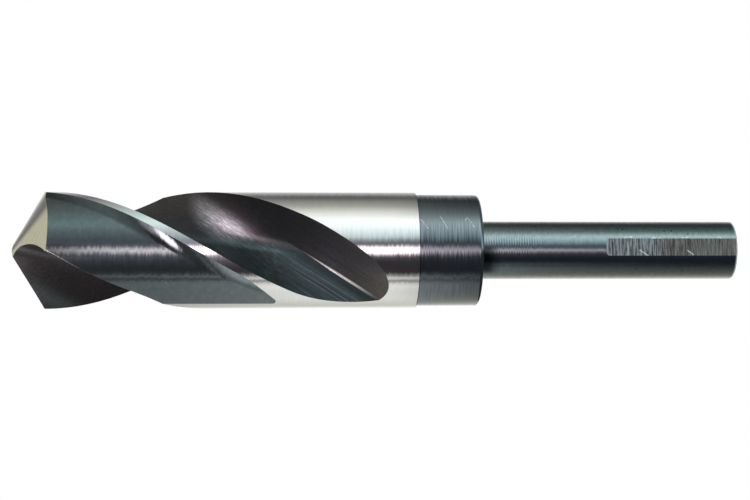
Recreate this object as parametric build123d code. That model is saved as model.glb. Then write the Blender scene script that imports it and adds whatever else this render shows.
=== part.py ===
from build123d import *
import os
from math import acos, asin, atan2, cos, degrees, hypot, pi, radians, sin, sqrt, tan

# Reduced shank drill bit, standing on the end of its shank with the point up.
# Sizes are in mm and degrees. Z runs along the axis from the end of the shank.

# Main sizes
TOTAL_LENGTH = 158.75
SHANK_DIA = 12.7
SHANK_LENGTH = 57.15
SHANK_CHAMFER = 0.35
COLLAR_DIA = 24.4
COLLAR_LENGTH = 13.85
COLLAR_EDGE_RADIUS = 0.75
BODY_DIA = 25.4
BODY_EDGE_CHAMFER = 0.15

# Drive flats for the chuck's jaws, milled across the end of the shank
FLAT_COUNT = 3
FLAT_DEPTH = 0.29
FLAT_LENGTH = 29.6
FLAT_END_RADIUS = 0.85
FLAT_ANGLE = -81.5              # which way the first flat faces

# Flutes: the lead of the helix, and the wheel-shaped form cutter that mills them.
# The cutter's outline is two arcs that meet in a corner at its rim.
FLUTE_COUNT = 2
LEAD = 140.0
WEB = 3.56
FLUTE_END = 62.7                # from the point to where the cutter lifts out
CUTTER_RADIUS = 39.8
CUTTER_TILT = 32.7
RAKE_FORM_RADIUS = 12.6
RAKE_FORM_START = 14
HEEL_FORM_RADIUS = 15.2
HEEL_FORM_START = 30

# Margins, and the clearance ground behind them down the length of each land
MARGIN_WIDTH = 1.9
CLEARANCE_DEPTH = 0.85
CLEARANCE_FILLET = 14.0
CLEARANCE_END = 58.0            # from the point
CLEARANCE_RUNOUT = 10.5
CLEARANCE_RUNOUT_WIDTH = 10.2
CLEARANCE_RUNOUT_RADIUS = 29.0
CLEARANCE_NOSE_RADIUS = 1.3
CLEARANCE_FADE_ANGLE = -132.5   # which way the fading floor of the first clearance faces

# Point
POINT_ANGLE = 118.0
FLANK_APEX_OFFSET = 3.5
FLANK_TILT = 6.4

# Modelling: the spacing of sections along a helix, the slopes at which the cutter's outline is
# followed, and how far cuts run past what they cut
TWIST_PER_SECTION = 11.0
OUTLINE_STEP = 5
STEEPEST_SLOPE = 80
STEEPEST_CONTACT = 75
CONTACT_STEP = 15
OVERRUN = 3.0
OVERRUN_ANGLE = 15
OVERLAP = 0.3
SEAM = 0.03

body_radius = BODY_DIA / 2
web_radius = WEB / 2
clearance_radius = body_radius - CLEARANCE_DEPTH
body_start = SHANK_LENGTH + COLLAR_LENGTH
flute_end_z = TOTAL_LENGTH - FLUTE_END
cutter_axis = web_radius + CUTTER_RADIUS
tilt = radians(CUTTER_TILT)
half_point = radians(POINT_ANGLE / 2)
feed_per_radian = LEAD / (2 * pi)

# The cutter's frame at the end of its cut: x across its rim, y out from the drill, z along the cut
cutter_plane = Plane(
    origin=(0, 0, flute_end_z), x_dir=(cos(tilt), 0, -sin(tilt)), z_dir=(-sin(tilt), 0, -cos(tilt))
)


def on_circle(radius, angle):
    return radius * cos(radians(angle)), radius * sin(radians(angle))


def turned(shape, angle):
    return Rot(0, 0, angle) * shape


def twist(height):
    """How far the helix turns over a height."""
    return 360 * height / LEAD


def helical(section, low, high):
    """A solid with the same outline square to the axis all along, twisted with the lead."""
    count = int(twist(high - low) / TWIST_PER_SECTION) + 2
    heights = [low + (high - low) * i / (count - 1) for i in range(count)]
    return loft([Pos(0, 0, z) * turned(section, twist(z - flute_end_z)) for z in heights])


def blank():
    """The turned and ground bar: shank, collar and body, before any milling.

    It is round, so the turn at the end only puts the seam of its surfaces in the middle of a flat.
    """
    shank_radius, collar_radius = SHANK_DIA / 2, COLLAR_DIA / 2
    edge_start = (collar_radius - COLLAR_EDGE_RADIUS, SHANK_LENGTH)
    edge_end = (collar_radius, SHANK_LENGTH + COLLAR_EDGE_RADIUS)
    with BuildPart() as bar:
        with BuildSketch(Plane.XZ):
            with BuildLine():
                Polyline(
                    (0, 0),
                    (shank_radius - SHANK_CHAMFER, 0),
                    (shank_radius, SHANK_CHAMFER),
                    (shank_radius, SHANK_LENGTH),
                    edge_start,
                )
                RadiusArc(edge_start, edge_end, -COLLAR_EDGE_RADIUS)
                Polyline(
                    edge_end,
                    (collar_radius, body_start),
                    (body_radius - BODY_EDGE_CHAMFER, body_start),
                    (body_radius, body_start + BODY_EDGE_CHAMFER),
                    (body_radius, TOTAL_LENGTH + OVERRUN),
                    (0, TOTAL_LENGTH + OVERRUN),
                    (0, 0),
                )
            make_face()
        revolve(axis=Axis.Z)
    return turned(bar.part, FLAT_ANGLE + 360 / FLAT_COUNT)


def flat_cutters():
    """The flats around the shank. Each ends in the corner radius of the mill."""
    with BuildPart() as tool:
        with BuildSketch(Plane.YZ.offset(SHANK_DIA / 2 - FLAT_DEPTH)):
            with Locations((0, (FLAT_LENGTH - OVERRUN) / 2)):
                Rectangle(SHANK_DIA, FLAT_LENGTH + OVERRUN)
        extrude(amount=FLAT_DEPTH + OVERRUN)
        end_edges = tool.edges().filter_by(Axis.Y).group_by(Axis.Z)[-1]
        fillet(end_edges.sort_by(Axis.X)[0], FLAT_END_RADIUS)
    return [turned(tool.part, FLAT_ANGLE + 360 / FLAT_COUNT * i) for i in range(FLAT_COUNT)]


def cutter_rim(slope):
    """Where the cutter's outline has a slope: across its rim, and out from the drill's axis."""
    if slope < -RAKE_FORM_START:
        side, radius, start = -1, RAKE_FORM_RADIUS, radians(RAKE_FORM_START)
    elif slope > HEEL_FORM_START:
        side, radius, start = 1, HEEL_FORM_RADIUS, radians(HEEL_FORM_START)
    else:
        return 0.0, web_radius
    angle = radians(abs(slope))
    return side * radius * (sin(angle) - sin(start)), web_radius + radius * (cos(start) - cos(angle))


def cutter_contact(slope):
    """Where the cutter touches the finished flute, for one point of its outline.

    The cutter is a wheel, so the normal at each point of its rim runs through its axis. The point
    lies on the flute's surface where that normal stands square to the helical feed.
    """
    across, out = cutter_rim(slope)
    reach = cutter_axis - out
    axis_hit = across - reach * tan(radians(slope))
    ax, az = axis_hit * cos(tilt), -axis_hit * sin(tilt)
    px, pz = across * cos(tilt), -across * sin(tilt)
    # the feed condition reads  k_cos * cos(turn) + k_sin * sin(turn) = k
    k_cos = ax * reach
    k_sin = -reach * (cutter_axis * sin(tilt) + feed_per_radian * cos(tilt))
    k = (ax - px) * cutter_axis + feed_per_radian * (az - pz)
    phase, spread = atan2(k_sin, k_cos), acos(k / hypot(k_cos, k_sin))
    turn = min((asin(sin(phase + spread)), asin(sin(phase - spread))), key=abs)
    x = px - reach * sin(turn) * sin(tilt)
    y = reach * cos(turn) - cutter_axis
    z = pz - reach * sin(turn) * cos(tilt)
    return x, y, z


def flute_outline():
    """The flute's outline square to the drill's axis, as radius and angle, where the flute ends."""
    slopes = range(-STEEPEST_SLOPE, STEEPEST_SLOPE + 1, OUTLINE_STEP)
    contacts = [cutter_contact(slope) for slope in slopes]
    return [(hypot(x, y), degrees(atan2(y, x)) - twist(z)) for x, y, z in contacts]


def cutting_edge_angle(outline):
    """The angle at which the rake side of the flute's outline crosses the body."""
    for (r0, a0), (r1, a1) in zip(outline, outline[1:]):
        if r0 >= body_radius > r1:
            return a0 + (a1 - a0) * (r0 - body_radius) / (r0 - r1)


def flute_section(outline):
    """The flute's outline as a face, closed well outside the body."""
    far = body_radius + 2 * OVERRUN
    points = [on_circle(radius, angle) for radius, angle in outline]
    first, last = on_circle(far, outline[0][1]), on_circle(far, outline[-1][1])
    with BuildSketch() as face:
        with BuildLine():
            Spline(*points)
            Polyline(points[-1], last, first, points[0])
        make_face()
    return face.sketch


def cutter_wheel():
    """The form cutter itself, which shapes the end of the flute."""
    top = web_radius + HEEL_FORM_RADIUS + OVERRUN
    corner, rake_top, heel_top = (0, web_radius), cutter_rim(-90), cutter_rim(90)
    rake_middle = cutter_rim(-(RAKE_FORM_START + 90) / 2)
    heel_middle = cutter_rim((HEEL_FORM_START + 90) / 2)
    with BuildPart() as wheel:
        with BuildSketch(cutter_plane):
            with BuildLine():
                ThreePointArc(corner, rake_middle, rake_top)
                Polyline(rake_top, (rake_top[0], top), (heel_top[0], top), heel_top)
                ThreePointArc(heel_top, heel_middle, corner)
            make_face()
        spindle = Axis(cutter_plane.from_local_coords((0, cutter_axis, 0)), cutter_plane.x_dir)
        revolve(axis=spindle)
    return wheel.part


def feed_limit():
    """The reach of the cutter's feed, as a prism that ends where the cutter last touches its channel.

    Ending there, the channel runs over into the cutter's own shape without a step. Where the contact
    stays on the cutter's corner the limit follows the corner, which leaves its crease in the flute.
    """
    plane = Plane(origin=cutter_plane.origin, x_dir=cutter_plane.x_dir, z_dir=(0, 1, 0))

    def last_contact(slope):
        place = plane.to_local_coords(Vector(cutter_contact(slope)) + plane.origin)
        return place.X, place.Y

    heel_slopes = range(HEEL_FORM_START, STEEPEST_CONTACT + 1, CONTACT_STEP)
    rake_top, rake_foot = last_contact(-STEEPEST_CONTACT), last_contact(-RAKE_FORM_START)
    heel_foot, *heel = [last_contact(slope) for slope in heel_slopes]
    far = 2 * TOTAL_LENGTH
    with BuildPart() as limit:
        with BuildSketch(plane):
            with BuildLine():
                Polyline(
                    (-far, rake_top[1]),
                    rake_top,
                    (SEAM / 2, rake_foot[1]),
                    (SEAM / 2, heel_foot[1]),
                    *heel,
                    (far, far / 2),
                    (far, -far),
                    (-far, -far),
                    close=True,
                )
            make_face()
        extrude(amount=BODY_DIA, both=True)
    return limit.part


def flute_cutters(outline):
    """What the form cutter takes out of the bar for one flute: the channel, and its end."""
    lowest_contact = min(cutter_contact(slope)[2] for slope in (-RAKE_FORM_START, STEEPEST_CONTACT))
    lowest = flute_end_z + lowest_contact - OVERRUN
    channel = helical(flute_section(outline), lowest, TOTAL_LENGTH + OVERRUN)
    return [channel & feed_limit(), Pos(0, SEAM, 0) * cutter_wheel()]


def clearance_section(outline):
    """The ground-down land from the margin to past the heel, as a face closed outside the body."""
    start = cutting_edge_angle(outline) - degrees(MARGIN_WIDTH / body_radius)
    heel = start - 180 / FLUTE_COUNT
    far = body_radius + 2 * OVERRUN
    fillet_orbit = clearance_radius + CLEARANCE_FILLET
    gap = (body_radius**2 + fillet_orbit**2 - CLEARANCE_FILLET**2) / (2 * body_radius * fillet_orbit)
    foot_angle = start - degrees(acos(gap))
    foot, margin_edge = on_circle(clearance_radius, foot_angle), on_circle(body_radius, start)
    cx, cy = on_circle(fillet_orbit, foot_angle)
    past_edge = degrees(atan2(margin_edge[1] - cy, margin_edge[0] - cx)) - OVERRUN_ANGLE
    ox, oy = on_circle(CLEARANCE_FILLET, past_edge)
    with BuildSketch() as face:
        with BuildLine():
            ThreePointArc(foot, margin_edge, (cx + ox, cy + oy))
            Polyline(
                (cx + ox, cy + oy),
                on_circle(far, start),
                on_circle(far, (start + heel) / 2),
                on_circle(far, heel),
                on_circle(clearance_radius, heel),
            )
            ThreePointArc(
                on_circle(clearance_radius, heel),
                on_circle(clearance_radius, (foot_angle + heel) / 2),
                foot,
            )
        make_face()
    return face.sketch


def clearance_window():
    """How far the clearance reaches: its floor turns flat and fades out, and its end is rounded."""
    facing = radians(CLEARANCE_FADE_ANGLE)
    side = Plane(
        origin=(0, 0, TOTAL_LENGTH),
        x_dir=(sin(facing), -cos(facing), 0),
        z_dir=(cos(facing), sin(facing), 0),
    )
    fade_edge = sqrt(body_radius**2 - clearance_radius**2) + OVERLAP
    runout_start = CLEARANCE_END - CLEARANCE_RUNOUT
    helix_slope = body_radius / feed_per_radian
    runout_side = fade_edge - CLEARANCE_RUNOUT_WIDTH
    with BuildPart() as window:
        with BuildSketch(side):
            with BuildLine():
                Polyline(
                    (runout_side, runout_start),
                    (runout_side - OVERRUN * helix_slope, runout_start - OVERRUN),
                    (-BODY_DIA, runout_start - OVERRUN),
                    (-BODY_DIA, -OVERRUN),
                    (fade_edge, -OVERRUN),
                    (fade_edge, CLEARANCE_END),
                )
                RadiusArc(
                    (fade_edge, CLEARANCE_END), (runout_side, runout_start), -CLEARANCE_RUNOUT_RADIUS
                )
            make_face()
        extrude(amount=BODY_DIA, both=True)
        end_edges = window.edges().filter_by(Axis(side.origin, side.z_dir))
        fillet(end_edges.sort_by(Axis.Z)[0], CLEARANCE_NOSE_RADIUS)
        with BuildSketch(side):
            with Locations((BODY_DIA / 2, CLEARANCE_END / 2)):
                Rectangle(BODY_DIA, CLEARANCE_END + 4 * OVERRUN)
        extrude(amount=clearance_radius - SEAM, mode=Mode.SUBTRACT)
    return window.part


def flank_cone(outline):
    """The cone that one flank is ground to. The lip lies along it, and the cone leans back for relief."""
    lip = (sin(half_point), 0, -cos(half_point))
    height = 1.5 * TOTAL_LENGTH     # past the far end of the drill
    cone = Cone(height * tan(half_point), 0, height, align=(Align.CENTER, Align.CENTER, Align.MAX))
    leaning = cone.rotate(Axis((0, 0, 0), lip), FLANK_TILT)
    apex = TOTAL_LENGTH + apex_above_chisel(lip)
    corner_z = apex - (sqrt(body_radius**2 - web_radius**2) + FLANK_APEX_OFFSET) / tan(half_point)
    edge = cutting_edge_angle(outline) + twist(corner_z - flute_end_z)
    lip_angle = edge - degrees(asin(web_radius / body_radius))
    return turned(Pos(-FLANK_APEX_OFFSET, web_radius, apex) * leaning, lip_angle)


def apex_above_chisel(lip):
    """How far the cone's apex stands above the middle of the chisel edge."""
    drop = FLANK_APEX_OFFSET / tan(half_point)
    for _ in range(20):
        middle = Vector(FLANK_APEX_OFFSET, -web_radius, -drop).rotate(Axis((0, 0, 0), lip), -FLANK_TILT)
        drop += hypot(middle.X, middle.Y) / tan(half_point) + middle.Z
    return drop


def drill_bit():
    outline = flute_outline()
    cuts = flat_cutters()
    clearance = helical(
        clearance_section(outline), TOTAL_LENGTH - CLEARANCE_END - OVERRUN, TOTAL_LENGTH + OVERRUN
    ) & clearance_window()
    for i in range(FLUTE_COUNT):
        turn = 360 / FLUTE_COUNT * i
        cuts += [turned(cutter, turn) for cutter in [*flute_cutters(outline), clearance]]
    part = blank()
    for cut in cuts:
        part = part - cut
    cone = flank_cone(outline)
    for i in range(FLUTE_COUNT):
        part = part & turned(cone, 360 / FLUTE_COUNT * i)
    return part


bit = drill_bit()
bit.label = "drill_bit"
os.makedirs("parts", exist_ok=True)
export_step(bit, "parts/drill_bit.step")
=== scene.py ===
from math import acos, asin, atan2, cos, degrees, hypot, pi, radians, sin, sqrt, tan

import bpy
import numpy as np
from mathutils import Matrix, Vector


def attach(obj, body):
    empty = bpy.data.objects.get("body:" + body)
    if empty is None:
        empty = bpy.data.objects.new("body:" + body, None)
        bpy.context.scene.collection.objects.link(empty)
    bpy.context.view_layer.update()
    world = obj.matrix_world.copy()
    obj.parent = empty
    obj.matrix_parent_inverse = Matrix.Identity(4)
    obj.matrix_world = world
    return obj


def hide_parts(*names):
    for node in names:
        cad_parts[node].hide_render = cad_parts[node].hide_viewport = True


# Reduced shank drill bit, standing on the end of its shank with the point up.
# Lengths are in mm and angles in degrees. The scene itself is in metres.
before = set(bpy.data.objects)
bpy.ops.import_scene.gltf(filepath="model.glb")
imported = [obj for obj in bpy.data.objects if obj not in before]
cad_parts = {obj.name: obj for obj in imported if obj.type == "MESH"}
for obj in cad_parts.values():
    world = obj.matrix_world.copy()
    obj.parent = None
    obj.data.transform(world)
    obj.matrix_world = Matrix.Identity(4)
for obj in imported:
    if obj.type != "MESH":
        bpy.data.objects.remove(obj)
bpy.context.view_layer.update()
MM = 0.001

# The form, with the same sizes as the solid
TOTAL_LENGTH = 158.75
SHANK_DIA = 12.7
SHANK_LENGTH = 57.15
SHANK_CHAMFER = 0.35
COLLAR_DIA = 24.4
COLLAR_LENGTH = 13.85
COLLAR_EDGE_RADIUS = 0.75
BODY_DIA = 25.4
BODY_EDGE_CHAMFER = 0.15
FLAT_COUNT = 3
FLAT_DEPTH = 0.29
FLAT_LENGTH = 29.6
FLAT_END_RADIUS = 0.85
FLAT_ANGLE = -81.5
FLUTE_COUNT = 2
LEAD = 140.0
WEB = 3.56
FLUTE_END = 62.7
CUTTER_RADIUS = 39.8
CUTTER_TILT = 32.7
RAKE_FORM_RADIUS = 12.6
RAKE_FORM_START = 14
HEEL_FORM_RADIUS = 15.2
HEEL_FORM_START = 30
MARGIN_WIDTH = 1.9
CLEARANCE_DEPTH = 0.85
CLEARANCE_FILLET = 14.0
CLEARANCE_FADE_ANGLE = -132.5
POINT_ANGLE = 118.0
FLANK_APEX_OFFSET = 3.5
FLANK_TILT = 6.4
CHAMFER_RISE = -45

# The small shift between two cuts that would otherwise share a face
SEAM = 0.03

body_radius = BODY_DIA / 2
web_radius = WEB / 2
clearance_radius = body_radius - CLEARANCE_DEPTH
body_start = SHANK_LENGTH + COLLAR_LENGTH
flute_end_z = TOTAL_LENGTH - FLUTE_END
cutter_axis = web_radius + CUTTER_RADIUS
tilt = radians(CUTTER_TILT)
half_point = radians(POINT_ANGLE / 2)
twist_rate = 2 * pi / LEAD

# A facet belongs to a surface when its corners lie this close to it and face nearly its way.
# One that faces another way counts as this much farther off, and a tilted one by its share of that.
ON_SURFACE = 0.06
SAME_WAY = cos(radians(25))
WRONG_WAY = 0.05
TILTED = 0.2

# A distance at which no surface is chosen, a length close to 0, the steepest slope of the cutter's
# outline, and how often a flank's apex is corrected
FAR_OFF = 1e3
TINY = 1e-12
STEEPEST_SLOPE = 80
APEX_PASSES = 20

# Camera: a long lens at the photo's place, lying on its side so that the drill points left.
# The photo's width and the focal length are in the photo's pixels.
PHOTO_WIDTH = 750
FOCAL_LENGTH = 2200
SENSOR = 36.0
CAMERA_DISTANCE = 483.8
CAMERA_YAW = 5.2
CAMERA_TURN = 1.5
TARGET_Z = 79.74
TARGET_X = 0.07


# Surfaces of the solid. Each is a function from points to their distance and the normal there.

def unit(v):
    return v / np.maximum(np.linalg.norm(v, axis=-1, keepdims=True), TINY)


def spun(points, angle):
    """Points turned about the drill's axis by an angle, or by one angle for each point."""
    c, s = np.cos(angle), np.sin(angle)
    x, y = points[:, 0], points[:, 1]
    return np.stack([c * x - s * y, s * x + c * y, points[:, 2]], 1)


def round_wall(radius):
    def surface(p):
        across = np.hypot(p[:, 0], p[:, 1])
        return across - radius, unit(p * (1, 1, 0))
    return surface


def level(height):
    def surface(p):
        return p[:, 2] - height, np.broadcast_to((0.0, 0.0, 1.0), p.shape)
    return surface


def flat(angle, distance):
    normal = np.array((cos(radians(angle)), sin(radians(angle)), 0))

    def surface(p):
        return p @ normal - distance, np.broadcast_to(normal, p.shape)
    return surface


def flat_end(angle, distance):
    """The corner radius that the mill leaves at the end of a flat."""
    out = np.array((cos(radians(angle)), sin(radians(angle)), 0))
    centre = out * (distance + FLAT_END_RADIUS) + (0, 0, FLAT_LENGTH - FLAT_END_RADIUS)

    def surface(p):
        offset = p - centre
        offset = (offset @ out)[:, None] * out + offset * (0, 0, 1)
        return np.linalg.norm(offset, axis=1) - FLAT_END_RADIUS, unit(-offset)
    return surface


def ring(radius, height, tube):
    """The round of an edge that runs around the axis."""
    def surface(p):
        out = unit(p * (1, 1, 0))
        offset = p - out * radius - (0, 0, height)
        return np.linalg.norm(offset, axis=1) - tube, unit(offset)
    return surface


def bevel(radius, height, rise):
    """A small cone through one circle, with a normal that rises out of it by an angle."""
    out_part, up_part = cos(radians(rise)), sin(radians(rise))

    def surface(p):
        across = np.hypot(p[:, 0], p[:, 1])
        distance = (across - radius) * out_part + (p[:, 2] - height) * up_part
        return distance, unit(p * (1, 1, 0)) * out_part + np.array((0, 0, up_part))
    return surface


def cutter_rim(slope):
    """Where the cutter's outline has a slope: across its rim, and out from the drill's axis."""
    if slope < -RAKE_FORM_START:
        side, radius, start = -1, RAKE_FORM_RADIUS, radians(RAKE_FORM_START)
    elif slope > HEEL_FORM_START:
        side, radius, start = 1, HEEL_FORM_RADIUS, radians(HEEL_FORM_START)
    else:
        return 0.0, web_radius
    angle = radians(abs(slope))
    return side * radius * (sin(angle) - sin(start)), web_radius + radius * (cos(start) - cos(angle))


def cutter_contact(slope):
    """Where the cutter touches the finished flute, for one point of its outline."""
    across, out = cutter_rim(slope)
    reach = cutter_axis - out
    axis_hit = across - reach * tan(radians(slope))
    # Each normal of the cutter passes through its spindle, here at (ax, az). At the contact the normal
    # is square to the screw motion, which gives k_cos * cos(turn) + k_sin * sin(turn) = k.
    ax, az = axis_hit * cos(tilt), -axis_hit * sin(tilt)
    px, pz = across * cos(tilt), -across * sin(tilt)
    k_cos = ax * reach
    k_sin = -reach * (cutter_axis * sin(tilt) + cos(tilt) / twist_rate)
    k = (ax - px) * cutter_axis + (az - pz) / twist_rate
    phase, spread = atan2(k_sin, k_cos), acos(k / hypot(k_cos, k_sin))
    turn = min((asin(sin(phase + spread)), asin(sin(phase - spread))), key=abs)
    x = px - reach * sin(turn) * sin(tilt)
    y = reach * cos(turn) - cutter_axis
    z = pz - reach * sin(turn) * cos(tilt)
    return x, y, z


def flute_outline():
    """The flute's outline square to the axis, at the height where the flute ends."""
    contacts = np.array([cutter_contact(slope) for slope in range(-STEEPEST_SLOPE, STEEPEST_SLOPE + 1)])
    return spun(contacts, -contacts[:, 2] * twist_rate)[:, :2]


def swept_normal(flat_normal, untwisted, p):
    """The normal in space of an outline that turns with the helix as it rises."""
    rise = twist_rate * (flat_normal[:, 0] * untwisted[:, 1] - flat_normal[:, 1] * untwisted[:, 0])
    risen = np.column_stack([flat_normal, rise])
    return unit(spun(risen, twist_rate * (p[:, 2] - flute_end_z)))


def channel(outline):
    """The helical part of a flute."""
    start, step = outline[:-1], np.diff(outline, axis=0)
    tangent = unit(np.gradient(outline, axis=0))

    def surface(p):
        q = spun(p, -twist_rate * (p[:, 2] - flute_end_z))[:, :2]
        t = ((q[:, None] - start) * step).sum(2) / (step**2).sum(1)
        t = np.clip(t, 0, 1)
        gap = np.linalg.norm(q[:, None] - (start + t[:, :, None] * step), axis=2)
        best = gap.argmin(1)
        row = np.arange(len(p))
        share = t[row, best][:, None]
        along = unit(tangent[best] * (1 - share) + tangent[best + 1] * share)
        across = np.column_stack([-along[:, 1], along[:, 0]])
        return gap[row, best], swept_normal(across, q, p)
    return surface


def wheel(side, radius, start):
    """One side of the form cutter's rim, which shapes the end of a flute."""
    spindle = np.array((cos(tilt), 0, -sin(tilt)))
    centre = np.array((0, SEAM - cutter_axis, flute_end_z))
    arc_across = -side * radius * sin(radians(start))
    arc_out = web_radius + radius * cos(radians(start))

    def surface(p):
        d = p - centre
        across = d @ spindle
        radial = d - across[:, None] * spindle
        reach = np.linalg.norm(radial, axis=1)
        from_arc = np.stack([across - arc_across, cutter_axis - reach - arc_out], 1)
        distance = np.linalg.norm(from_arc, axis=1) - radius
        inward = unit(-from_arc)
        normal = inward[:, :1] * spindle - inward[:, 1:] * unit(radial)
        return distance + FAR_OFF * (across * side < -SEAM), normal
    return surface


def cutting_edge_angle(outline):
    """The angle at which the rake side of the flute's outline crosses the body."""
    radius = np.hypot(*outline.T)
    angle = np.degrees(np.arctan2(outline[:, 1], outline[:, 0]))
    i = next(i for i in range(len(radius)) if radius[i] >= body_radius > radius[i + 1])
    share = (radius[i] - body_radius) / (radius[i] - radius[i + 1])
    return angle[i] + share * (angle[i + 1] - angle[i])


def margin_fillet(edge_angle):
    """The hollow corner between a margin and the clearance behind it."""
    start = edge_angle - degrees(MARGIN_WIDTH / body_radius)
    orbit = clearance_radius + CLEARANCE_FILLET
    gap = (body_radius**2 + orbit**2 - CLEARANCE_FILLET**2) / (2 * body_radius * orbit)
    foot = radians(start) - acos(gap)
    centre = np.array((orbit * cos(foot), orbit * sin(foot)))

    def surface(p):
        q = spun(p, -twist_rate * (p[:, 2] - flute_end_z))[:, :2]
        offset = q - centre
        distance = np.linalg.norm(offset, axis=1) - CLEARANCE_FILLET
        return distance, swept_normal(unit(-offset), q, p)
    return surface


def apex_above_chisel(lip):
    """How far the apex of a flank's cone is above the chisel edge, found by repeated correction."""
    drop = FLANK_APEX_OFFSET / tan(half_point)
    lean_back = Matrix.Rotation(-radians(FLANK_TILT), 3, Vector(lip))
    for _ in range(APEX_PASSES):
        middle = lean_back @ Vector((FLANK_APEX_OFFSET, -web_radius, -drop))
        drop += hypot(middle.x, middle.y) / tan(half_point) + middle.z
    return drop


def flank(edge_angle):
    """The cone that one flank is ground to."""
    lip = (sin(half_point), 0, -cos(half_point))
    apex_z = TOTAL_LENGTH + apex_above_chisel(lip)
    corner_z = apex_z - (sqrt(body_radius**2 - web_radius**2) + FLANK_APEX_OFFSET) / tan(half_point)
    edge = edge_angle + degrees(twist_rate * (corner_z - flute_end_z))
    lip_angle = radians(edge) - asin(web_radius / body_radius)
    lean = np.array(Matrix.Rotation(radians(FLANK_TILT), 3, Vector(lip)))
    apex = np.array((-FLANK_APEX_OFFSET, web_radius, apex_z))

    def surface(p):
        d = (spun(p, -lip_angle) - apex) @ lean
        across = np.hypot(d[:, 0], d[:, 1])
        distance = across * cos(half_point) + d[:, 2] * sin(half_point)
        normal = unit(d * (1, 1, 0)) * cos(half_point) + np.array((0, 0, sin(half_point)))
        return distance, spun(normal @ lean.T, lip_angle)
    return surface


def facing(surface, turn):
    """A surface turned about the drill's axis."""
    def turned_surface(p):
        distance, normal = surface(spun(p, -turn))
        return distance, spun(normal, turn)
    return turned_surface


def drill_surfaces():
    """Every surface of the drill with the finish that it has."""
    outline = flute_outline()
    edge_angle = cutting_edge_angle(outline)
    shank_radius, collar_radius = SHANK_DIA / 2, COLLAR_DIA / 2
    surfaces = [
        ("shank", level(0)),
        ("shank", bevel(shank_radius, SHANK_CHAMFER, CHAMFER_RISE)),
        ("shank", round_wall(shank_radius)),
        ("collar", level(SHANK_LENGTH)),
        ("collar", ring(collar_radius - COLLAR_EDGE_RADIUS, SHANK_LENGTH + COLLAR_EDGE_RADIUS,
                        COLLAR_EDGE_RADIUS)),
        ("collar", round_wall(collar_radius)),
        ("edge", level(body_start)),
        ("edge", bevel(body_radius, body_start + BODY_EDGE_CHAMFER, CHAMFER_RISE)),
        ("body", round_wall(body_radius)),
        ("land", round_wall(clearance_radius)),
    ]
    for i in range(FLAT_COUNT):
        angle = FLAT_ANGLE + 360 / FLAT_COUNT * i
        surfaces.append(("flat", flat(angle, shank_radius - FLAT_DEPTH)))
        surfaces.append(("flat", flat_end(angle, shank_radius - FLAT_DEPTH)))
    for i in range(FLUTE_COUNT):
        turn = 2 * pi / FLUTE_COUNT * i
        cut = [
            ("flute", channel(outline)),
            ("flute", wheel(-1, RAKE_FORM_RADIUS, RAKE_FORM_START)),
            ("flute", wheel(1, HEEL_FORM_RADIUS, HEEL_FORM_START)),
            ("land", margin_fillet(edge_angle)),
            ("land", flat(CLEARANCE_FADE_ANGLE, clearance_radius - SEAM)),
            ("flank", flank(edge_angle)),
        ]
        surfaces += [(finish, facing(surface, turn)) for finish, surface in cut]
    return surfaces


def nearest_surface(corners, facet_normal, surfaces):
    """For each triangle the surface that all its corners lie on, and that surface's normals there."""
    count = len(corners)
    best_fit = np.full(count, np.inf)
    normals = np.repeat(facet_normal[:, None], 3, 1)
    chosen = np.full(count, -1)
    for index, (_, surface) in enumerate(surfaces):
        distance, normal = surface(corners.reshape(-1, 3))
        distance, normal = np.abs(distance).reshape(count, 3).max(1), normal.reshape(count, 3, 3)
        agrees = (normal * facet_normal[:, None]).sum(2)
        normal = normal * np.sign(agrees)[:, :, None]
        facing_share = np.abs(agrees).min(1)
        off_by = distance + WRONG_WAY * (facing_share < SAME_WAY) + TILTED * (1 - facing_share)
        better = off_by < best_fit
        best_fit[better], chosen[better], normals[better] = off_by[better], index, normal[better]
    stray = best_fit > ON_SURFACE
    normals[stray] = facet_normal[stray, None]
    chosen[stray] = -1
    return chosen, normals


def drill_piece():
    """The drill with the form of the solid and the true normal of its surfaces at every corner."""
    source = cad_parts["drill_bit"].data
    mesh = source.copy()
    mesh.name = "drill_bit_finished"
    corner_vertex = np.zeros(len(mesh.loops), int)
    mesh.loops.foreach_get("vertex_index", corner_vertex)
    places = np.zeros(len(mesh.vertices) * 3)
    mesh.vertices.foreach_get("co", places)
    corners = (places.reshape(-1, 3) / MM)[corner_vertex].reshape(-1, 3, 3)
    facet_normal = unit(np.cross(corners[:, 1] - corners[:, 0], corners[:, 2] - corners[:, 0]))
    surfaces = drill_surfaces()
    chosen, normals = nearest_surface(corners, facet_normal, surfaces)
    finishes = list(FINISHES)
    mesh.materials.clear()
    for name in finishes:
        mesh.materials.append(metal(name, FINISHES[name]))
    slot_of = [finishes.index(finish) for finish, _ in surfaces] + [finishes.index("land")]
    mesh.polygons.foreach_set("material_index", np.array(slot_of)[chosen].astype(np.int32))
    mesh.polygons.foreach_set("use_smooth", np.ones(len(mesh.polygons), bool))
    mesh.normals_split_custom_set(normals.reshape(-1, 3).tolist())
    piece = bpy.data.objects.new("drill_bit_finished", mesh)
    bpy.context.scene.collection.objects.link(piece)
    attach(piece, "root")
    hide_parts("drill_bit")


# Node trees

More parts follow.
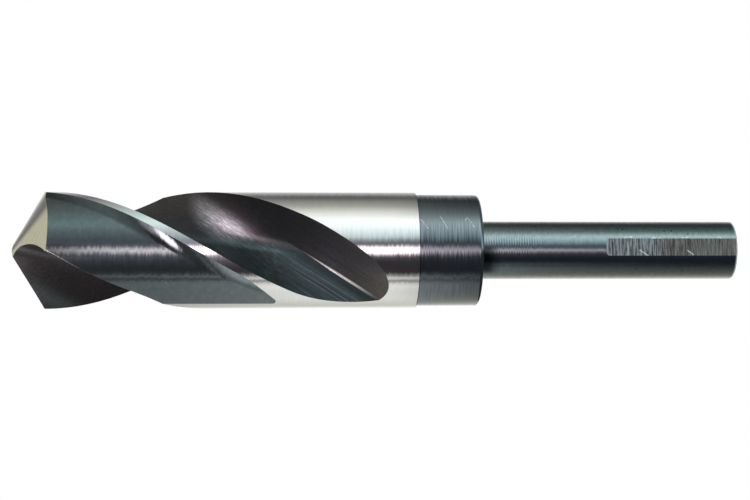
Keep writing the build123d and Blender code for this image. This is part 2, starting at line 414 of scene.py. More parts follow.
class Graph:
    """A short way to write node trees: an input is a value or another node's socket."""

    def __init__(self, tree):
        self.tree = tree
        self.tree.nodes.clear()

    def add(self, kind, inputs=(), **settings):
        made = self.tree.nodes.new(kind)
        for key, value in settings.items():
            setattr(made, key, value)
        for key, value in dict(inputs).items():
            if isinstance(value, bpy.types.NodeSocket):
                self.tree.links.new(value, made.inputs[key])
            else:
                made.inputs[key].default_value = value
        return made

    def math(self, operation, *values, clamp=False):
        made = self.add("ShaderNodeMath", enumerate(values), operation=operation, use_clamp=clamp)
        return made.outputs[0]

    def product(self, value, *others):
        for other in others:
            value = self.math("MULTIPLY", value, other)
        return value

    def vector(self, operation, *values):
        made = self.add("ShaderNodeVectorMath", enumerate(values), operation=operation)
        return made.outputs["Value" if operation in ("DOT_PRODUCT", "LENGTH") else "Vector"]

    def scaled(self, vector, amount):
        made = self.add("ShaderNodeVectorMath", {0: vector, "Scale": amount}, operation="SCALE")
        return made.outputs[0]

    def stretched(self, vector, stretch):
        return self.add("ShaderNodeMapping", {"Vector": vector, "Scale": stretch}).outputs[0]

    def split(self, vector):
        return self.add("ShaderNodeSeparateXYZ", {0: vector}).outputs

    def joined(self, **parts):
        return self.add("ShaderNodeCombineXYZ", parts).outputs[0]

    def step(self, value, low, high, out_low=0.0, out_high=1.0):
        """A soft step of a value from one level to another, which may be the lower one."""
        made = self.add("ShaderNodeMapRange", {
            "Value": value, "From Min": low, "From Max": high, "To Min": out_low, "To Max": out_high})
        made.interpolation_type = "SMOOTHSTEP"
        return made.outputs[0]

    def turn_step(self, angle, low, high, out_low=0.0, out_high=1.0):
        """The same from one angle to another, both in degrees."""
        return self.step(angle, radians(low), radians(high), out_low, out_high)

    def within(self, value, *edges):
        """How far a value is past each of several soft steps at once."""
        return self.product(*[self.step(value, *edge) for edge in edges])

    def ramp(self, value, stops):
        """A ramp over 0 to 1, whose stops have a colour or a plain level."""
        made = self.add("ShaderNodeValToRGB", {"Fac": value})
        elements = made.color_ramp.elements
        while len(elements) < len(stops):
            elements.new(1.0)
        for element, (where, colour) in zip(elements, stops):
            element.position = where
            element.color = (*colour, 1) if isinstance(colour, tuple) else (colour, colour, colour, 1)
        return made.outputs["Color"]

    def mix(self, share, low, high, blend="MIX"):
        low, high = [(*c, 1) if isinstance(c, tuple) and len(c) == 3 else c for c in (low, high)]
        made = self.add("ShaderNodeMix", {0: share, 6: low, 7: high}, data_type="RGBA", blend_type=blend)
        return made.outputs[2]

    def noise(self, vector, detail, roughness):
        return self.add("ShaderNodeTexNoise", {
            "Vector": vector, "Scale": 1.0, "Detail": detail, "Roughness": roughness}).outputs["Fac"]


# Places on the drill

def place(g, stretch=(1, 1, 1)):
    """The point on the drill in mm, stretched so that noise there becomes streaks."""
    here = g.add("ShaderNodeTexCoord").outputs["Object"]
    return g.stretched(here, [s / MM for s in stretch])


def height_here(g):
    return g.split(place(g))["Z"]


def angle_around(g, parts):
    """The angle of a point or a direction about the drill's axis, from the camera's side toward +X."""
    return g.math("ARCTAN2", parts["X"], g.product(parts["Y"], -1.0))


def unrolled(g, radius):
    """The place on a round wall in mm: around it from the camera's side toward +X, and up."""
    parts = g.split(place(g))
    return g.joined(X=g.product(angle_around(g, parts), radius), Y=parts["Z"])


def along_flute(g):
    """The point in mm in the flute's own frame, which turns with the helix as it rises."""
    here = place(g)
    height = g.math("SUBTRACT", g.split(here)["Z"], flute_end_z)
    back = g.product(height, -twist_rate)
    return g.add("ShaderNodeVectorRotate", {
        "Vector": here, "Axis": (0, 0, 1), "Angle": back}).outputs[0]


def cutter_side(g, flip):
    """How far a place in a flute lies across the rim of the wheel that ended it, toward the heel."""
    parts = g.split(place(g))
    outward = g.product(flip, parts["X"], -cos(tilt))
    climb = g.product(g.math("SUBTRACT", parts["Z"], flute_end_z), sin(tilt))
    return g.math("SUBTRACT", outward, climb)


# Marks. Streaks run around the axis. They are given by how fine they are across and along themselves,
# and by the detail and roughness of their noise. Blotches have one fineness, and after the detail and
# roughness come the two levels of the noise that count as 0 and as 1.

STREAK_SPREAD = (0.25, 0.75)
NOISE_SPREAD = (0.3, 0.7)
SCRATCH_BREAKS = (2.6, 2.0, 0.5, 0.36, 0.6)

# A stroke fades out from this share of its width. One that is a point has this squared length, not 0.
STROKE_CORE = 0.3
POINT_SQUARED = 1e-6


def streaks(g, across, along, detail, roughness):
    """Noise drawn out around the axis, as turning and grinding leave it, spread over 0 to 1."""
    marks = g.noise(place(g, (along, along, across)), detail, roughness)
    return g.step(marks, *STREAK_SPREAD)


def blotches(g, fineness, detail, roughness, none, full):
    """Noise that is alike in every direction."""
    return g.step(g.noise(place(g, (fineness, fineness, fineness)), detail, roughness), none, full)


def strokes(g, radius, lines, width):
    """How much a place is marked by points or short lines, each from one angle and height to another."""
    spot = unrolled(g, radius)
    marked = 0.0
    for (start_angle, start_height), (end_angle, end_height) in lines:
        start = Vector((radians(start_angle) * radius, start_height, 0))
        run = Vector((radians(end_angle) * radius, end_height, 0)) - start
        offset = g.vector("SUBTRACT", spot, start)
        along = g.vector("DOT_PRODUCT", offset, run)
        share = g.math("DIVIDE", along, max(run.dot(run), POINT_SQUARED), clamp=True)
        gap = g.vector("LENGTH", g.vector("SUBTRACT", offset, g.scaled(run, share)))
        marked = g.math("MAXIMUM", marked, g.step(gap, width, STROKE_CORE * width))
    return marked


def scratches(g, radius, lines, width):
    """Strokes that are broken up along their length."""
    return g.product(strokes(g, radius, lines, width), blotches(g, *SCRATCH_BREAKS))


def leaning(g, lean, turns):
    """The normal leant around the drill's axis by noise, as tool marks around the axis do."""
    normal = g.add("ShaderNodeNewGeometry").outputs["Normal"]
    around = g.vector("CROSS_PRODUCT", (0, 0, 1), normal)
    amount = g.product(g.math("SUBTRACT", turns, 0.5), 2 * tan(radians(lean)))
    return g.vector("NORMALIZE", g.vector("ADD", normal, g.scaled(around, amount)))


def bumped(g, height, depth, normal):
    """The normal where the surface also rises by up to a depth in mm."""
    return g.add("ShaderNodeBump", {
        "Height": height, "Strength": 1.0, "Distance": depth * MM, "Normal": normal}).outputs[0]


def metal(name, build):
    """A metal whose graph gives colour, roughness, normal and how much of it is bare metal."""
    material = bpy.data.materials.new(name)
    material.use_nodes = True
    g = Graph(material.node_tree)
    colour, roughness, normal, metallic = build(g)
    inputs = {"Metallic": metallic, "Base Color": colour, "Roughness": roughness, "Normal": normal}
    shader = g.add("ShaderNodeBsdfPrincipled", inputs)
    g.add("ShaderNodeOutputMaterial", {"Surface": shader.outputs[0]})
    return material


# Materials. A lean is how far a finish's marks tilt its surface, in degrees. Two levels in one value
# bound a soft step, from none at the first to all at the second, and most of them are heights. Places
# of wear, and the painted highlight along the heel edge, are those that the photo shows, each an angle
# from the camera's side toward +X and a height.

ALL_METAL = 1.0

BODY_STREAKS = (3.6, 0.35, 3.0, 0.6)
BODY_COLOURS = ((0.76, 0.765, 0.75), (0.79, 0.795, 0.78))
BODY_ROUGHNESS = 0.1
BODY_LEAN = 1.1


def ground_body(g):
    marks = streaks(g, *BODY_STREAKS)
    return g.mix(marks, *BODY_COLOURS), BODY_ROUGHNESS, leaning(g, BODY_LEAN, marks), ALL_METAL


COLLAR_STREAKS = (4.8, 0.15, 2.0, 0.5)
COLLAR_COLOURS = ((0.165, 0.192, 0.213), (0.237, 0.273, 0.30))
COLLAR_ROUGHNESS = 0.15
COLLAR_LEAN = 2.0
COLLAR_METALLIC = 0.95
COLLAR_SCRATCH_WIDTH = 0.13
COLLAR_SCRATCH_COLOUR = (0.46, 0.51, 0.52)
COLLAR_SCRATCHES = [
    ((39, 66.5), (24, 65.0)), ((34, 70.6), (24, 69.3)), ((33, 61.1), (38, 60.7)),
    ((38, 60.7), (25, 59.1)), ((-15, 58.5), (-18, 58.4)), ((-27, 58.8), (-29, 60.1)),
]
RUBBED = (0.9, 5.0, 0.65, 0.6, 0.75)
RUBBED_SHARE = 0.2
RUBBED_COLOUR = (0.35, 0.37, 0.38)


def oxide_collar(g):
    marks = streaks(g, *COLLAR_STREAKS)
    colour = g.mix(marks, *COLLAR_COLOURS)
    scratched = scratches(g, COLLAR_DIA / 2, COLLAR_SCRATCHES, COLLAR_SCRATCH_WIDTH)
    colour = g.mix(scratched, colour, COLLAR_SCRATCH_COLOUR)
    colour = g.mix(g.product(blotches(g, *RUBBED), RUBBED_SHARE), colour, RUBBED_COLOUR)
    return colour, COLLAR_ROUGHNESS, leaning(g, COLLAR_LEAN, marks), COLLAR_METALLIC


# The step from the collar to the body is coloured near-black: painted shade.
EDGE_STREAKS = (2.2, 0.12, 4.0, 0.7)
STEP_SHADE_COLOUR = (0.03, 0.034, 0.036, 1)
EDGE_ROUGHNESS = 0.35
EDGE_LEAN = 2.0
EDGE_METALLIC = 0.9


def painted_shade_step(g):
    """The small step from the collar to the body, coloured near-black as painted shade."""
    normal = leaning(g, EDGE_LEAN, streaks(g, *EDGE_STREAKS))
    return STEP_SHADE_COLOUR, EDGE_ROUGHNESS, normal, EDGE_METALLIC


SHANK_STREAKS = (2.6, 0.2, 3.0, 0.6)
SHANK_MOTTLE = (1.1, 4.0, 0.6, *NOISE_SPREAD)
SHANK_COLOURS = ((0.242, 0.298, 0.315), (0.28, 0.343, 0.362))
SHANK_ROUGHNESS = 0.19
SHANK_LEAN = 1.1
TURNING_PITCH = 0.56
TURNING_HEIGHTS = (41.0, 47.0)
TURNING_STRENGTH = 0.8
TURNING_SHADE = 0.1
PIT_WIDTH = 0.36
PIT_SHARE = 0.75
PIT_COLOUR = (0.06, 0.09, 0.09)
SMALL_PITS = (2.2, 2.0, 0.5, 0.74, 0.8)
SHANK_PITS = [
    (49, 26.5), (48, 25.5), (44, 16.2), (52, 9.3), (59, 6.9), (36, 11.0), (44, 14.6), (-43, 12.1),
    (-39, 22.5), (74, 16.5), (49, 1.3),
]
# A darker patch on the shank just below the collar, on the camera's side.
DARK_PATCH_ANGLES = ((13, 3), (-58, -40))
DARK_PATCH_HEIGHTS = (52.3, 55.6)
DARK_PATCH_SHARE = 0.92
DARK_PATCH_COLOUR = (0.02, 0.03, 0.03)
SHANK_NICK_WIDTH = 0.16
SHANK_NICK_COLOUR = (0.55, 0.6, 0.58)
SHANK_NICKS = [
    ((29, 25.1), (29, 23.6)), ((27, 19.1), (26, 17.3)), ((28, 12.4), (28, 11.0)),
    ((29, 4.3), (26, 3.5)), ((-49, 27.2), (-49, 26.8)), ((-52, 18.7), (-52, 18.3)),
    ((-34, 7.5), (-34, 7.2)), ((63, 41.3), (62, 41.2)),
]


def turning_waves(g, height):
    """The feed marks of turning, which show on the shank's upper part."""
    waves = g.math("SINE", g.product(height, 2 * pi / TURNING_PITCH))
    return g.product(waves, g.step(height, *TURNING_HEIGHTS, 0.0, TURNING_STRENGTH))


def oxide_shank(g):
    radius = SHANK_DIA / 2
    parts = g.split(place(g))
    height = parts["Z"]
    marks = streaks(g, *SHANK_STREAKS)
    turned = turning_waves(g, height)
    colour = g.mix(blotches(g, *SHANK_MOTTLE), *SHANK_COLOURS)
    colour = g.scaled(colour, g.math("ADD", g.product(turned, TURNING_SHADE), 1.0))
    pits = strokes(g, radius, [(pit, pit) for pit in SHANK_PITS], PIT_WIDTH)
    pits = g.math("MAXIMUM", pits, blotches(g, *SMALL_PITS))
    colour = g.mix(g.product(pits, PIT_SHARE), colour, PIT_COLOUR)
    turn = angle_around(g, parts)
    # The shank is darker just below the collar, on the camera's side.
    darkened_patch = g.product(DARK_PATCH_SHARE, *[g.turn_step(turn, *edge) for edge in DARK_PATCH_ANGLES])
    colour = g.mix(g.product(darkened_patch, g.step(height, *DARK_PATCH_HEIGHTS)), colour, DARK_PATCH_COLOUR)
    nicks = scratches(g, radius, SHANK_NICKS, SHANK_NICK_WIDTH)
    colour = g.mix(nicks, colour, SHANK_NICK_COLOUR)
    return colour, SHANK_ROUGHNESS, leaning(g, SHANK_LEAN, g.math("ADD", marks, turned)), ALL_METAL


LAND_STREAKS = (2.4, 0.3, 3.0, 0.6)
LAND_MOTTLE = (0.8, 5.0, 0.65, *NOISE_SPREAD)
LAND_COLOURS = ((0.135, 0.165, 0.17), (0.165, 0.20, 0.21))
LAND_ROUGHNESS = 0.11
LAND_LEAN = 1.5
LAND_METALLIC = 0.85
LAND_NICK_WIDTH = 0.2
LAND_NICK_COLOUR = (0.27, 0.28, 0.3)
LAND_NICKS = [((-24, 126.1), (-28, 125.2)), ((-28, 125.2), (-32, 126.3)), ((-32, 126.3), (-36, 125.0))]
# A bright line along the heel edge near the point: a painted highlight.
HEEL_EDGE_WIDTH = 0.16
HEEL_EDGE_HEIGHTS = (140.0, 147.0)
HEEL_EDGE_HIGHLIGHT_COLOUR = (0.95, 0.93, 0.93)
HEEL_EDGE = [((3, 151.2), (-6, 147.8)), ((-6, 147.8), (-15, 144.7)), ((-15, 144.7), (-24, 141.3))]


def oxide_land(g):
    marks = streaks(g, *LAND_STREAKS)
    colour = g.mix(blotches(g, *LAND_MOTTLE), *LAND_COLOURS)
    nicks = scratches(g, clearance_radius, LAND_NICKS, LAND_NICK_WIDTH)
    colour = g.mix(nicks, colour, LAND_NICK_COLOUR)
    # Painted highlight: the heel edge is painted as a bright, broken line.
    heel_edge_highlight = scratches(g, clearance_radius, HEEL_EDGE, HEEL_EDGE_WIDTH)
    heel_edge_highlight = g.product(heel_edge_highlight, g.step(height_here(g), *HEEL_EDGE_HEIGHTS))
    colour = g.mix(heel_edge_highlight, colour, HEEL_EDGE_HIGHLIGHT_COLOUR)
    return colour, LAND_ROUGHNESS, leaning(g, LAND_LEAN, marks), LAND_METALLIC


# A flute has a rake side and a heel side. In its end they meet at a crease, where cutter_side is 0.
# Toward the end the rake is coloured a brighter teal, a painted reflection of the teal panel, and higher
# up the heel side has a shinier patch whose bright colour is a painted sheen. The crease is a painted
# highlight.
FLUTE_RAKE = (0.062, 0.084, 0.088)
FLUTE_RAKE_TEAL_REFLECTION = (0.155, 0.205, 0.22)
FLUTE_HEEL = (0.072, 0.07, 0.076)
FLUTE_HEEL_AT_END = (0.108, 0.102, 0.114)
FLUTE_SHEEN_COLOUR = (0.415, 0.445, 0.475)
FLUTE_AT_POINT = (0.105, 0.105, 0.106)
FLUTE_DULL, FLUTE_SHINY = 0.36, 0.27
FLUTE_METALLIC = 0.7
HEEL_IN_HELIX = (0.2, 2.2)
HEEL_IN_END = (-0.3, 0.3)
END_HEIGHTS = (107.0, 92.0)
HEEL_END_HEIGHTS = (97.0, 84.0)
POINT_HEIGHTS = (126.0, 137.0)
TEAL_PAINT_HEIGHTS = (113.0, 94.0)
TEAL_PAINT_SIDE = (-1.0, -3.4)
TEAL_PAINT_OFF_HEEL = (1.0, 0.0)
# Where the heel side has its painted sheen, by height and by cutter_side.
SHEEN_HEIGHTS = ((100.0, 118.0), (121.5, 114.5))
SHEEN_SIDES = ((-0.5, -4.3), (-9.0, -6.0))

# The wheel's lines have a fineness across and along themselves, and brighten the oxide by these levels
HELIX_LINES = (3.4, 0.4)
END_LINES = (4.5, 0.04)
END_LINES_HEIGHTS = (104.0, 96.0)
LINES_NOISE = (4.0, 0.75)
LINES_DEPTH = 0.003
FAINT_LINES = [(0.1, 0.85), (0.9, 1.15)]
STRONG_LINES = [(0.1, 0.5), (0.6, 1.0), (1.0, 2.3)]
GRAIN_STRETCH = (4.5, 4.5, 3.5)
GRAIN_NOISE = (4.0, 0.7)
GRAIN_LEVELS = [(0.0, 0.72), (1.0, 1.28)]

# The crease is painted bright between two heights: a painted highlight.
CREASE_HIGHLIGHT_COLOUR = (0.86, 0.9, 0.92)
CREASE_WIDTH = (0.4, 0.14)
CREASE_HEIGHTS = ((97.0, 89.0), (79.0, 86.5))
CREASE_NARROWS = (87.0, 96.0)
CREASE_NARROWED = 2.2


def heel_share(g, parts, flip, side, height):
    """How far a place is on a flute's heel side: past its middle, or in the end past the crease."""
    in_helix = g.step(g.product(parts["X"], flip, -1.0), *HEEL_IN_HELIX)
    in_end = g.step(side, *HEEL_IN_END)
    return g.mix(g.step(height, *END_HEIGHTS), in_helix, in_end)


def wheel_lines(g, side, height):
    """The lines that the form cutter leaves, which are straighter in the flute's end."""
    in_helix, in_end = [
        g.noise(g.joined(X=g.product(side, across), Z=g.product(height, along)), *LINES_NOISE)
        for across, along in (HELIX_LINES, END_LINES)
    ]
    return g.step(g.mix(g.step(height, *END_LINES_HEIGHTS), in_helix, in_end), *NOISE_SPREAD)


def crease_highlight(g, side, height):
    """How much a place is on the crease between two heights, where the crease is painted bright."""
    narrowing = g.step(height, *CREASE_NARROWS, 1.0, CREASE_NARROWED)
    on_crease = g.step(g.product(g.math("ABSOLUTE", side), narrowing), *CREASE_WIDTH)
    return g.product(on_crease, g.within(height, *CREASE_HEIGHTS))


def rounded_normal(g, rounded):
    """The normal, which faces straight out of the flute where its crease is worn round."""
    normal = g.add("ShaderNodeNewGeometry").outputs["Normal"]
    outward = g.vector("MULTIPLY", normal, (0.0, 1.0, 1.0))
    return g.vector("NORMALIZE", g.mix(rounded, normal, outward))


def oxide_flute(g):
    spot = along_flute(g)
    parts = g.split(spot)
    height = height_here(g)
    flip = g.math("SIGN", parts["Y"])
    side = cutter_side(g, flip)
    heel = heel_share(g, parts, flip, side, height)
    # Painted reflection: the rake toward the flute's end is coloured a brighter teal.
    painted_teal = g.product(g.step(height, *TEAL_PAINT_HEIGHTS), g.step(side, *TEAL_PAINT_SIDE))
    # Painted sheen: a bright, shinier patch on the heel side. The softbox's reflection there is partly
    # real and partly painted.
    painted_sheen = g.product(g.within(height, *SHEEN_HEIGHTS), g.within(side, *SHEEN_SIDES))
    crease = crease_highlight(g, side, height)
    near_point = g.step(height, *POINT_HEIGHTS)

    rake_colour = g.mix(painted_teal, FLUTE_RAKE, FLUTE_RAKE_TEAL_REFLECTION)
    rake_colour = g.mix(near_point, rake_colour, FLUTE_AT_POINT)
    heel_colour = g.mix(g.step(height, *HEEL_END_HEIGHTS), FLUTE_HEEL, FLUTE_HEEL_AT_END)
    heel_colour = g.mix(painted_sheen, heel_colour, FLUTE_SHEEN_COLOUR)
    heel_colour = g.mix(near_point, heel_colour, FLUTE_AT_POINT)
    colour = g.mix(heel, rake_colour, heel_colour)

    lines = wheel_lines(g, side, height)
    # The painted teal reflection and the painted sheen get the strongly drawn lines, which brighten them
    # more.
    drawn = g.math("MAXIMUM", g.product(painted_teal, g.step(heel, *TEAL_PAINT_OFF_HEEL)), painted_sheen)
    levels = g.mix(drawn, g.ramp(lines, FAINT_LINES), g.ramp(lines, STRONG_LINES))
    colour = g.mix(1.0, colour, levels, "MULTIPLY")
    grain = g.step(g.noise(g.stretched(spot, GRAIN_STRETCH), *GRAIN_NOISE), *NOISE_SPREAD)
    colour = g.mix(1.0, colour, g.ramp(grain, GRAIN_LEVELS), "MULTIPLY")
    # Painted highlight along the crease.
    colour = g.mix(crease, colour, CREASE_HIGHLIGHT_COLOUR)

    shine = g.math("MAXIMUM", g.product(painted_sheen, heel), crease)
    roughness = g.step(shine, 0.0, 1.0, FLUTE_DULL, FLUTE_SHINY)
    return colour, roughness, bumped(g, lines, LINES_DEPTH, rounded_normal(g, crease)), FLUTE_METALLIC


FLANK_STRETCH = (0.5, 3, 0.5)
FLANK_NOISE = (4.0, 0.6)
FLANK_COLOURS = ((0.66, 0.655, 0.60), (0.76, 0.755, 0.69))
FLANK_ROUGHNESS = 0.15
FLANK_LEAN = 0.5


def ground_flank(g):
    marks = g.step(g.noise(place(g, FLANK_STRETCH), *FLANK_NOISE), *NOISE_SPREAD)
    return g.mix(marks, *FLANK_COLOURS), FLANK_ROUGHNESS, leaning(g, FLANK_LEAN, marks), ALL_METAL


FLAT_STREAKS = (4.8, 0.2, 4.0, 0.8)
FLAT_CONTRAST = (0.2, 0.8)
FLAT_BRIGHT, FLAT_DARK = (0.50, 0.56, 0.56), (0.04, 0.044, 0.046)
FLAT_LOW_BRIGHT, FLAT_LOW_DARK = (0.33, 0.33, 0.31), (0.09, 0.087, 0.082)
FLAT_LOW_HEIGHTS = (20.0, 14.0)
# The top end of each flat is painted lighter: a painted highlight.
FLAT_TOP_HIGHLIGHT_COLOUR = (0.5, 0.5, 0.49)
FLAT_TOP_HIGHLIGHT_HEIGHTS = (FLAT_LENGTH - 0.9, FLAT_LENGTH - 0.3)
FLAT_ROUGHNESS = 0.32
FLAT_LEAN = 8.0
FLAT_NICK_WIDTH = 0.18
FLAT_NICK_SHARE = 0.9
FLAT_NICK_COLOUR = (0.95, 0.98, 1.0)
FLAT_NICKS = [((2, 21.9), (-9, 20.1)), ((1, 11.2), (-7, 10.0)), ((-11, 20.1), (-10, 10.0))]


def milled_flat(g):
    marks = streaks(g, *FLAT_STREAKS)
    height = height_here(g)
    low_down = g.step(height, *FLAT_LOW_HEIGHTS)
    bright = g.mix(low_down, FLAT_BRIGHT, FLAT_LOW_BRIGHT)
    dark = g.mix(low_down, FLAT_DARK, FLAT_LOW_DARK)
    colour = g.mix(g.step(marks, *FLAT_CONTRAST), dark, bright)
    # Painted highlight at the flat's top end.
    colour = g.mix(g.step(height, *FLAT_TOP_HIGHLIGHT_HEIGHTS), colour, FLAT_TOP_HIGHLIGHT_COLOUR)
    nicks = strokes(g, SHANK_DIA / 2 - FLAT_DEPTH, FLAT_NICKS, FLAT_NICK_WIDTH)
    colour = g.mix(g.product(nicks, FLAT_NICK_SHARE), colour, FLAT_NICK_COLOUR)
    return colour, FLAT_ROUGHNESS, leaning(g, FLAT_LEAN, marks), ALL_METAL


FINISHES = {
    "body": ground_body, "collar": oxide_collar, "edge": painted_shade_step, "shank": oxide_shank,
    "land": oxide_land, "flute": oxide_flute, "flank": ground_flank, "flat": milled_flat,
}


# Light. Its directions are angles about the drill's axis, from the camera's side toward +X.
# One table is for each height: well above level, a little above, a little below, and well below.

LIGHT_ABOVE = [
    (-180, 0.6), (-150, 0.6), (-120, 1.1), (-100, 1.4), (-90, 1.35), (-76, 0.75), (-64, 0.15),
    (-57, 0.4), (-50, 0.1), (-22, 0.05), (-14, 0.12), (-10, (0.5, 0.42, 0.44)),
    (-4, (1.25, 1.08, 1.12)), (0, (1.4, 1.2, 1.25)), (4, (1.25, 1.08, 1.12)),
    (10, (0.5, 0.42, 0.44)), (14, 0.18), (26, (0.24, 0.27, 0.28)), (48, (0.36, 0.4, 0.4)),
    (77, 0.32), (110, 0.1), (128, 0.05), (160, 0.17), (180, 0.6),
]
LIGHT_AHEAD = [
    (-180, 1.0), (-160, 0.6), (-140, 0.5), (-76, 0.5), (-69, 0.4), (-64, 0.12), (-60, 0.22),
    (-57, 0.5), (-52, 0.14), (-45, 0.04), (-35, (0.05, 0.04, 0.06)), (-22, (0.16, 0.14, 0.18)),
    (-13, (0.42, 0.39, 0.43)), (-9, (1.0, 0.86, 0.92)), (-5, (3.0, 2.4, 2.5)), (0, (5.2, 4.1, 4.2)),
    (5, (2.9, 2.3, 2.4)), (8, (1.1, 0.93, 1.02)), (12, (0.44, 0.42, 0.49)), (16, (0.32, 0.33, 0.4)),
    (21, (0.27, 0.3, 0.37)), (34, (0.45, 0.5, 0.54)), (43, (0.55, 0.68, 0.71)), (50, (0.75, 0.9, 0.92)),
    (59, (0.8, 0.97, 0.98)), (72, (0.62, 0.76, 0.76)), (91, (0.48, 0.54, 0.51)), (112, 0.34),
    (128, 0.2), (142, 0.33), (170, 0.8),
]
LIGHT_LEVEL = [
    (-163, 1.0), (-152, (0.76, 0.76, 0.71)), (-139, (0.66, 0.67, 0.59)), (-110, (0.91, 0.92, 0.89)),
    (-90, (0.94, 0.95, 0.93)), (-76, (1.1, 1.1, 1.08)), (-69, (0.9, 0.88, 0.87)), (-63, 0.27),
    (-57, 0.98), (-52, 0.36), (-45, (0.045, 0.037, 0.035)), (-22, (0.035, 0.03, 0.03)),
    (-13, (0.08, 0.07, 0.075)), (-9.5, (0.4, 0.34, 0.37)), (-7, (1.3, 1.1, 1.18)),
    (-3.5, (2.5, 2.0, 2.15)), (0, (2.8, 2.3, 2.4)), (4, (2.5, 2.0, 2.15)), (7.5, (1.3, 1.1, 1.18)),
    (10, (0.35, 0.31, 0.34)), (14, (0.12, 0.13, 0.15)), (21, (0.38, 0.42, 0.44)),
    (26, (0.72, 0.82, 0.85)), (34, (0.90, 1.03, 1.09)), (48, (1.2, 1.3, 1.3)), (64, (1.32, 1.35, 1.33)),
    (77, (1.03, 1.03, 0.98)), (98, (0.46, 0.46, 0.42)), (127, 0.13), (136, 0.16), (150, 0.42),
    (165, 0.62),
]
LIGHT_BELOW = [
    (-180, 1.3), (-140, (0.95, 0.84, 0.72)), (-130, (0.66, 0.58, 0.49)), (-121, (0.47, 0.43, 0.36)),
    (-107, (0.27, 0.26, 0.22)), (-83, (0.13, 0.12, 0.12)), (-68, (0.045, 0.045, 0.045)),
    (-54, (0.01, 0.015, 0.025)), (-29, (0.015, 0.025, 0.04)), (-17, (0.03, 0.04, 0.065)),
    (-10, (0.07, 0.07, 0.09)), (-5, (0.15, 0.13, 0.15)), (-2, (0.7, 0.54, 0.59)),
    (0.5, (1.5, 1.15, 1.23)), (3, (0.75, 0.58, 0.61)), (6, (0.2, 0.17, 0.2)), (10, (0.09, 0.11, 0.13)),
    (16, (0.07, 0.11, 0.14)), (23, (0.22, 0.3, 0.33)), (31, (0.6, 0.72, 0.76)), (40, (0.98, 1.15, 1.18)),
    (48, (1.28, 1.45, 1.46)), (57, (1.5, 1.68, 1.64)), (66, (0.92, 1.07, 1.02)), (76, (0.4, 0.5, 0.47)),
    (86, (0.22, 0.26, 0.25)), (98, (0.13, 0.16, 0.15)), (111, 0.09), (128, 0.07), (140, 0.26),
    (150, (0.62, 0.58, 0.52)), (170, 1.0),
]

# Heights are those of a direction's unit vector. Each pair bounds a soft step, from none to all.
LEVEL_HEIGHTS = (-0.14, -0.095)
AHEAD_HEIGHTS = (-0.07, 0.02)
ABOVE_HEIGHTS = (0.06, 0.2)
STRIP_GAP_HEIGHTS = ((0.038, 0.048), (0.42, 0.22))
STRIP_GAP_ANGLES = (16, 10)
DOWN_HEIGHTS = (-0.27, -0.45)
DOWN_BRIGHTENS = (-5, 15)
DOWN_DIMS = (38, 64)
DOWN_DIMMED = 0.2
DOWN_DARK, DOWN_LIGHT = (0.05, 0.05, 0.05), (0.9, 1.1, 1.1)
CEILING_HEIGHTS = (0.6, 0.72)
CEILING_COLOUR = (0.62, 0.60, 0.48)
SOFTBOX_AROUND, SOFTBOX_HEIGHT = -18, 0.378
SOFTBOX_INNER, SOFTBOX_OUTER = 3.5, 13
SOFTBOX_COLOUR = (8.4, 6.7, 7.2)
BEHIND_ANGLES = (165, 175)
WHITE = (1, 1, 1)


def room_light(g, around, height):
    """The light of the strip lamp, the panels and the ceiling, by a direction's angle and height."""
    share = g.math("ADD", g.math("DIVIDE", around, 2 * pi), 0.5)
    above, ahead, level, below = [
        g.ramp(share, [((angle + 180) / 360, colour) for angle, colour in table])
        for table in (LIGHT_ABOVE, LIGHT_AHEAD, LIGHT_LEVEL, LIGHT_BELOW)
    ]
    light = g.mix(g.step(height, *LEVEL_HEIGHTS), below, level)
    light = g.mix(g.step(height, *AHEAD_HEIGHTS), light, ahead)
    light = g.mix(g.step(height, *ABOVE_HEIGHTS), light, above)
    in_strip = g.turn_step(g.math("ABSOLUTE", around), *STRIP_GAP_ANGLES)
    gap = g.product(g.within(height, *STRIP_GAP_HEIGHTS), in_strip)
    light = g.scaled(light, g.step(gap, 1.0, 0.0))
    down_share = g.product(g.turn_step(around, *DOWN_BRIGHTENS),
                           g.turn_step(around, *DOWN_DIMS, 1.0, DOWN_DIMMED))
    light = g.mix(g.step(height, *DOWN_HEIGHTS), light, g.mix(down_share, DOWN_DARK, DOWN_LIGHT))
    return g.mix(g.step(height, *CEILING_HEIGHTS), light, CEILING_COLOUR)


def softbox_share(g, direction):
    """How much a direction is inside the small softbox."""
    level_part = sqrt(1 - SOFTBOX_HEIGHT**2)
    turn = radians(SOFTBOX_AROUND + CAMERA_TURN)
    softbox = (level_part * sin(turn), -level_part * cos(turn), SOFTBOX_HEIGHT)
    toward = g.vector("DOT_PRODUCT", direction, softbox)
    return g.step(toward, cos(radians(SOFTBOX_OUTER)), cos(radians(SOFTBOX_INNER)))


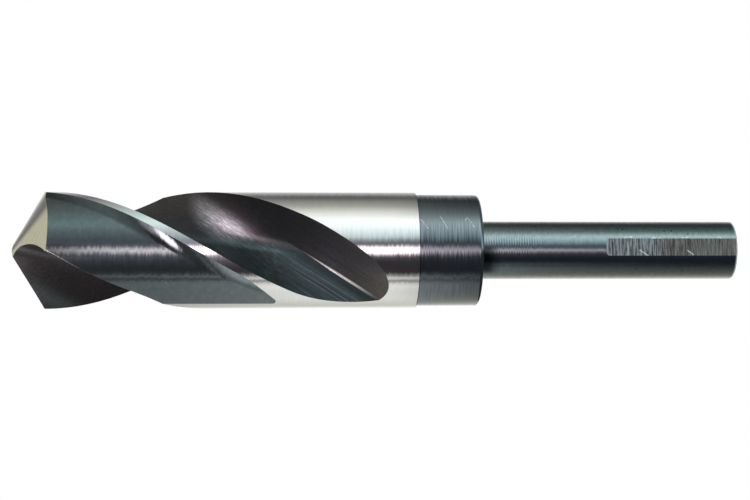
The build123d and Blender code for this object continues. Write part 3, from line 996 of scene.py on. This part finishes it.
def studio():
    """A soft studio: a strip lamp, a wide panel above, a low one, a warm ceiling and a small softbox.

    Behind the drill the camera sees white, and so do reflections that graze past its edges.
    """
    world = bpy.data.worlds.new("studio")
    bpy.context.scene.world = world
    world.use_nodes = True
    g = Graph(world.node_tree)
    direction = g.add("ShaderNodeTexCoord").outputs["Generated"]
    way = g.split(direction)
    around = g.math("SUBTRACT", angle_around(g, way), radians(CAMERA_TURN))
    light = room_light(g, around, way["Z"])
    light = g.mix(softbox_share(g, direction), light, SOFTBOX_COLOUR)
    path = g.add("ShaderNodeLightPath").outputs
    behind = g.turn_step(g.math("ABSOLUTE", around), *BEHIND_ANGLES)
    mirrored = g.product(path["Is Glossy Ray"], behind)
    seen = g.math("MAXIMUM", path["Is Camera Ray"], path["Is Transmission Ray"])
    colour = g.mix(g.math("MAXIMUM", seen, mirrored), light, WHITE)
    back = g.add("ShaderNodeBackground", {"Color": colour, "Strength": 1.0})
    g.add("ShaderNodeOutputWorld", {"Surface": back.outputs[0]})


FLOOR_RADIUS = 7.5
FLOOR_CORNERS = 128
FLOOR_COLOUR = 0.8
FLOOR_GLOW = 0.75


def floor():
    """A small plain floor. What the camera sees of it adds up to the white of the background."""
    bpy.ops.mesh.primitive_circle_add(
        vertices=FLOOR_CORNERS, radius=FLOOR_RADIUS * MM, fill_type="NGON")
    disc = bpy.context.object
    disc.name = "floor"
    material = bpy.data.materials.new("floor_paint")
    material.use_nodes = True
    g = Graph(material.node_tree)
    diffuse = g.add("ShaderNodeBsdfDiffuse", {"Color": (FLOOR_COLOUR, FLOOR_COLOUR, FLOOR_COLOUR, 1)})
    path = g.add("ShaderNodeLightPath").outputs
    seen = g.math("MAXIMUM", path["Is Camera Ray"], path["Is Transmission Ray"])
    glow = g.product(g.math("MAXIMUM", seen, path["Is Glossy Ray"]), FLOOR_GLOW)
    lit = g.add("ShaderNodeEmission", {"Strength": glow})
    both = g.add("ShaderNodeAddShader", {0: diffuse.outputs[0], 1: lit.outputs[0]})
    g.add("ShaderNodeOutputMaterial", {"Surface": both.outputs[0]})
    disc.data.materials.append(material)


def camera():
    """A camera on its side, which looks square at the drill's axis but for a small yaw along it."""
    yaw = radians(CAMERA_YAW)
    right = Vector((0, -sin(yaw), -cos(yaw)))
    up = Vector((1, 0, 0))
    back = Vector((0, -cos(yaw), sin(yaw)))
    data = bpy.data.cameras.new("camera")
    data.sensor_width = SENSOR
    data.lens = SENSOR * FOCAL_LENGTH / PHOTO_WIDTH
    seer = bpy.data.objects.new("camera", data)
    bpy.context.scene.collection.objects.link(seer)
    target = Vector((TARGET_X, 0, TARGET_Z)) * MM
    facing_drill = Matrix((right, up, back)).transposed().to_4x4()
    placed = Matrix.Translation(target + back * CAMERA_DISTANCE * MM) @ facing_drill
    seer.matrix_world = Matrix.Rotation(radians(CAMERA_TURN), 4, "Z") @ placed
    bpy.context.scene.camera = seer


drill_piece()
studio()
floor()
camera()
bpy.context.scene.view_settings.view_transform = "Standard"
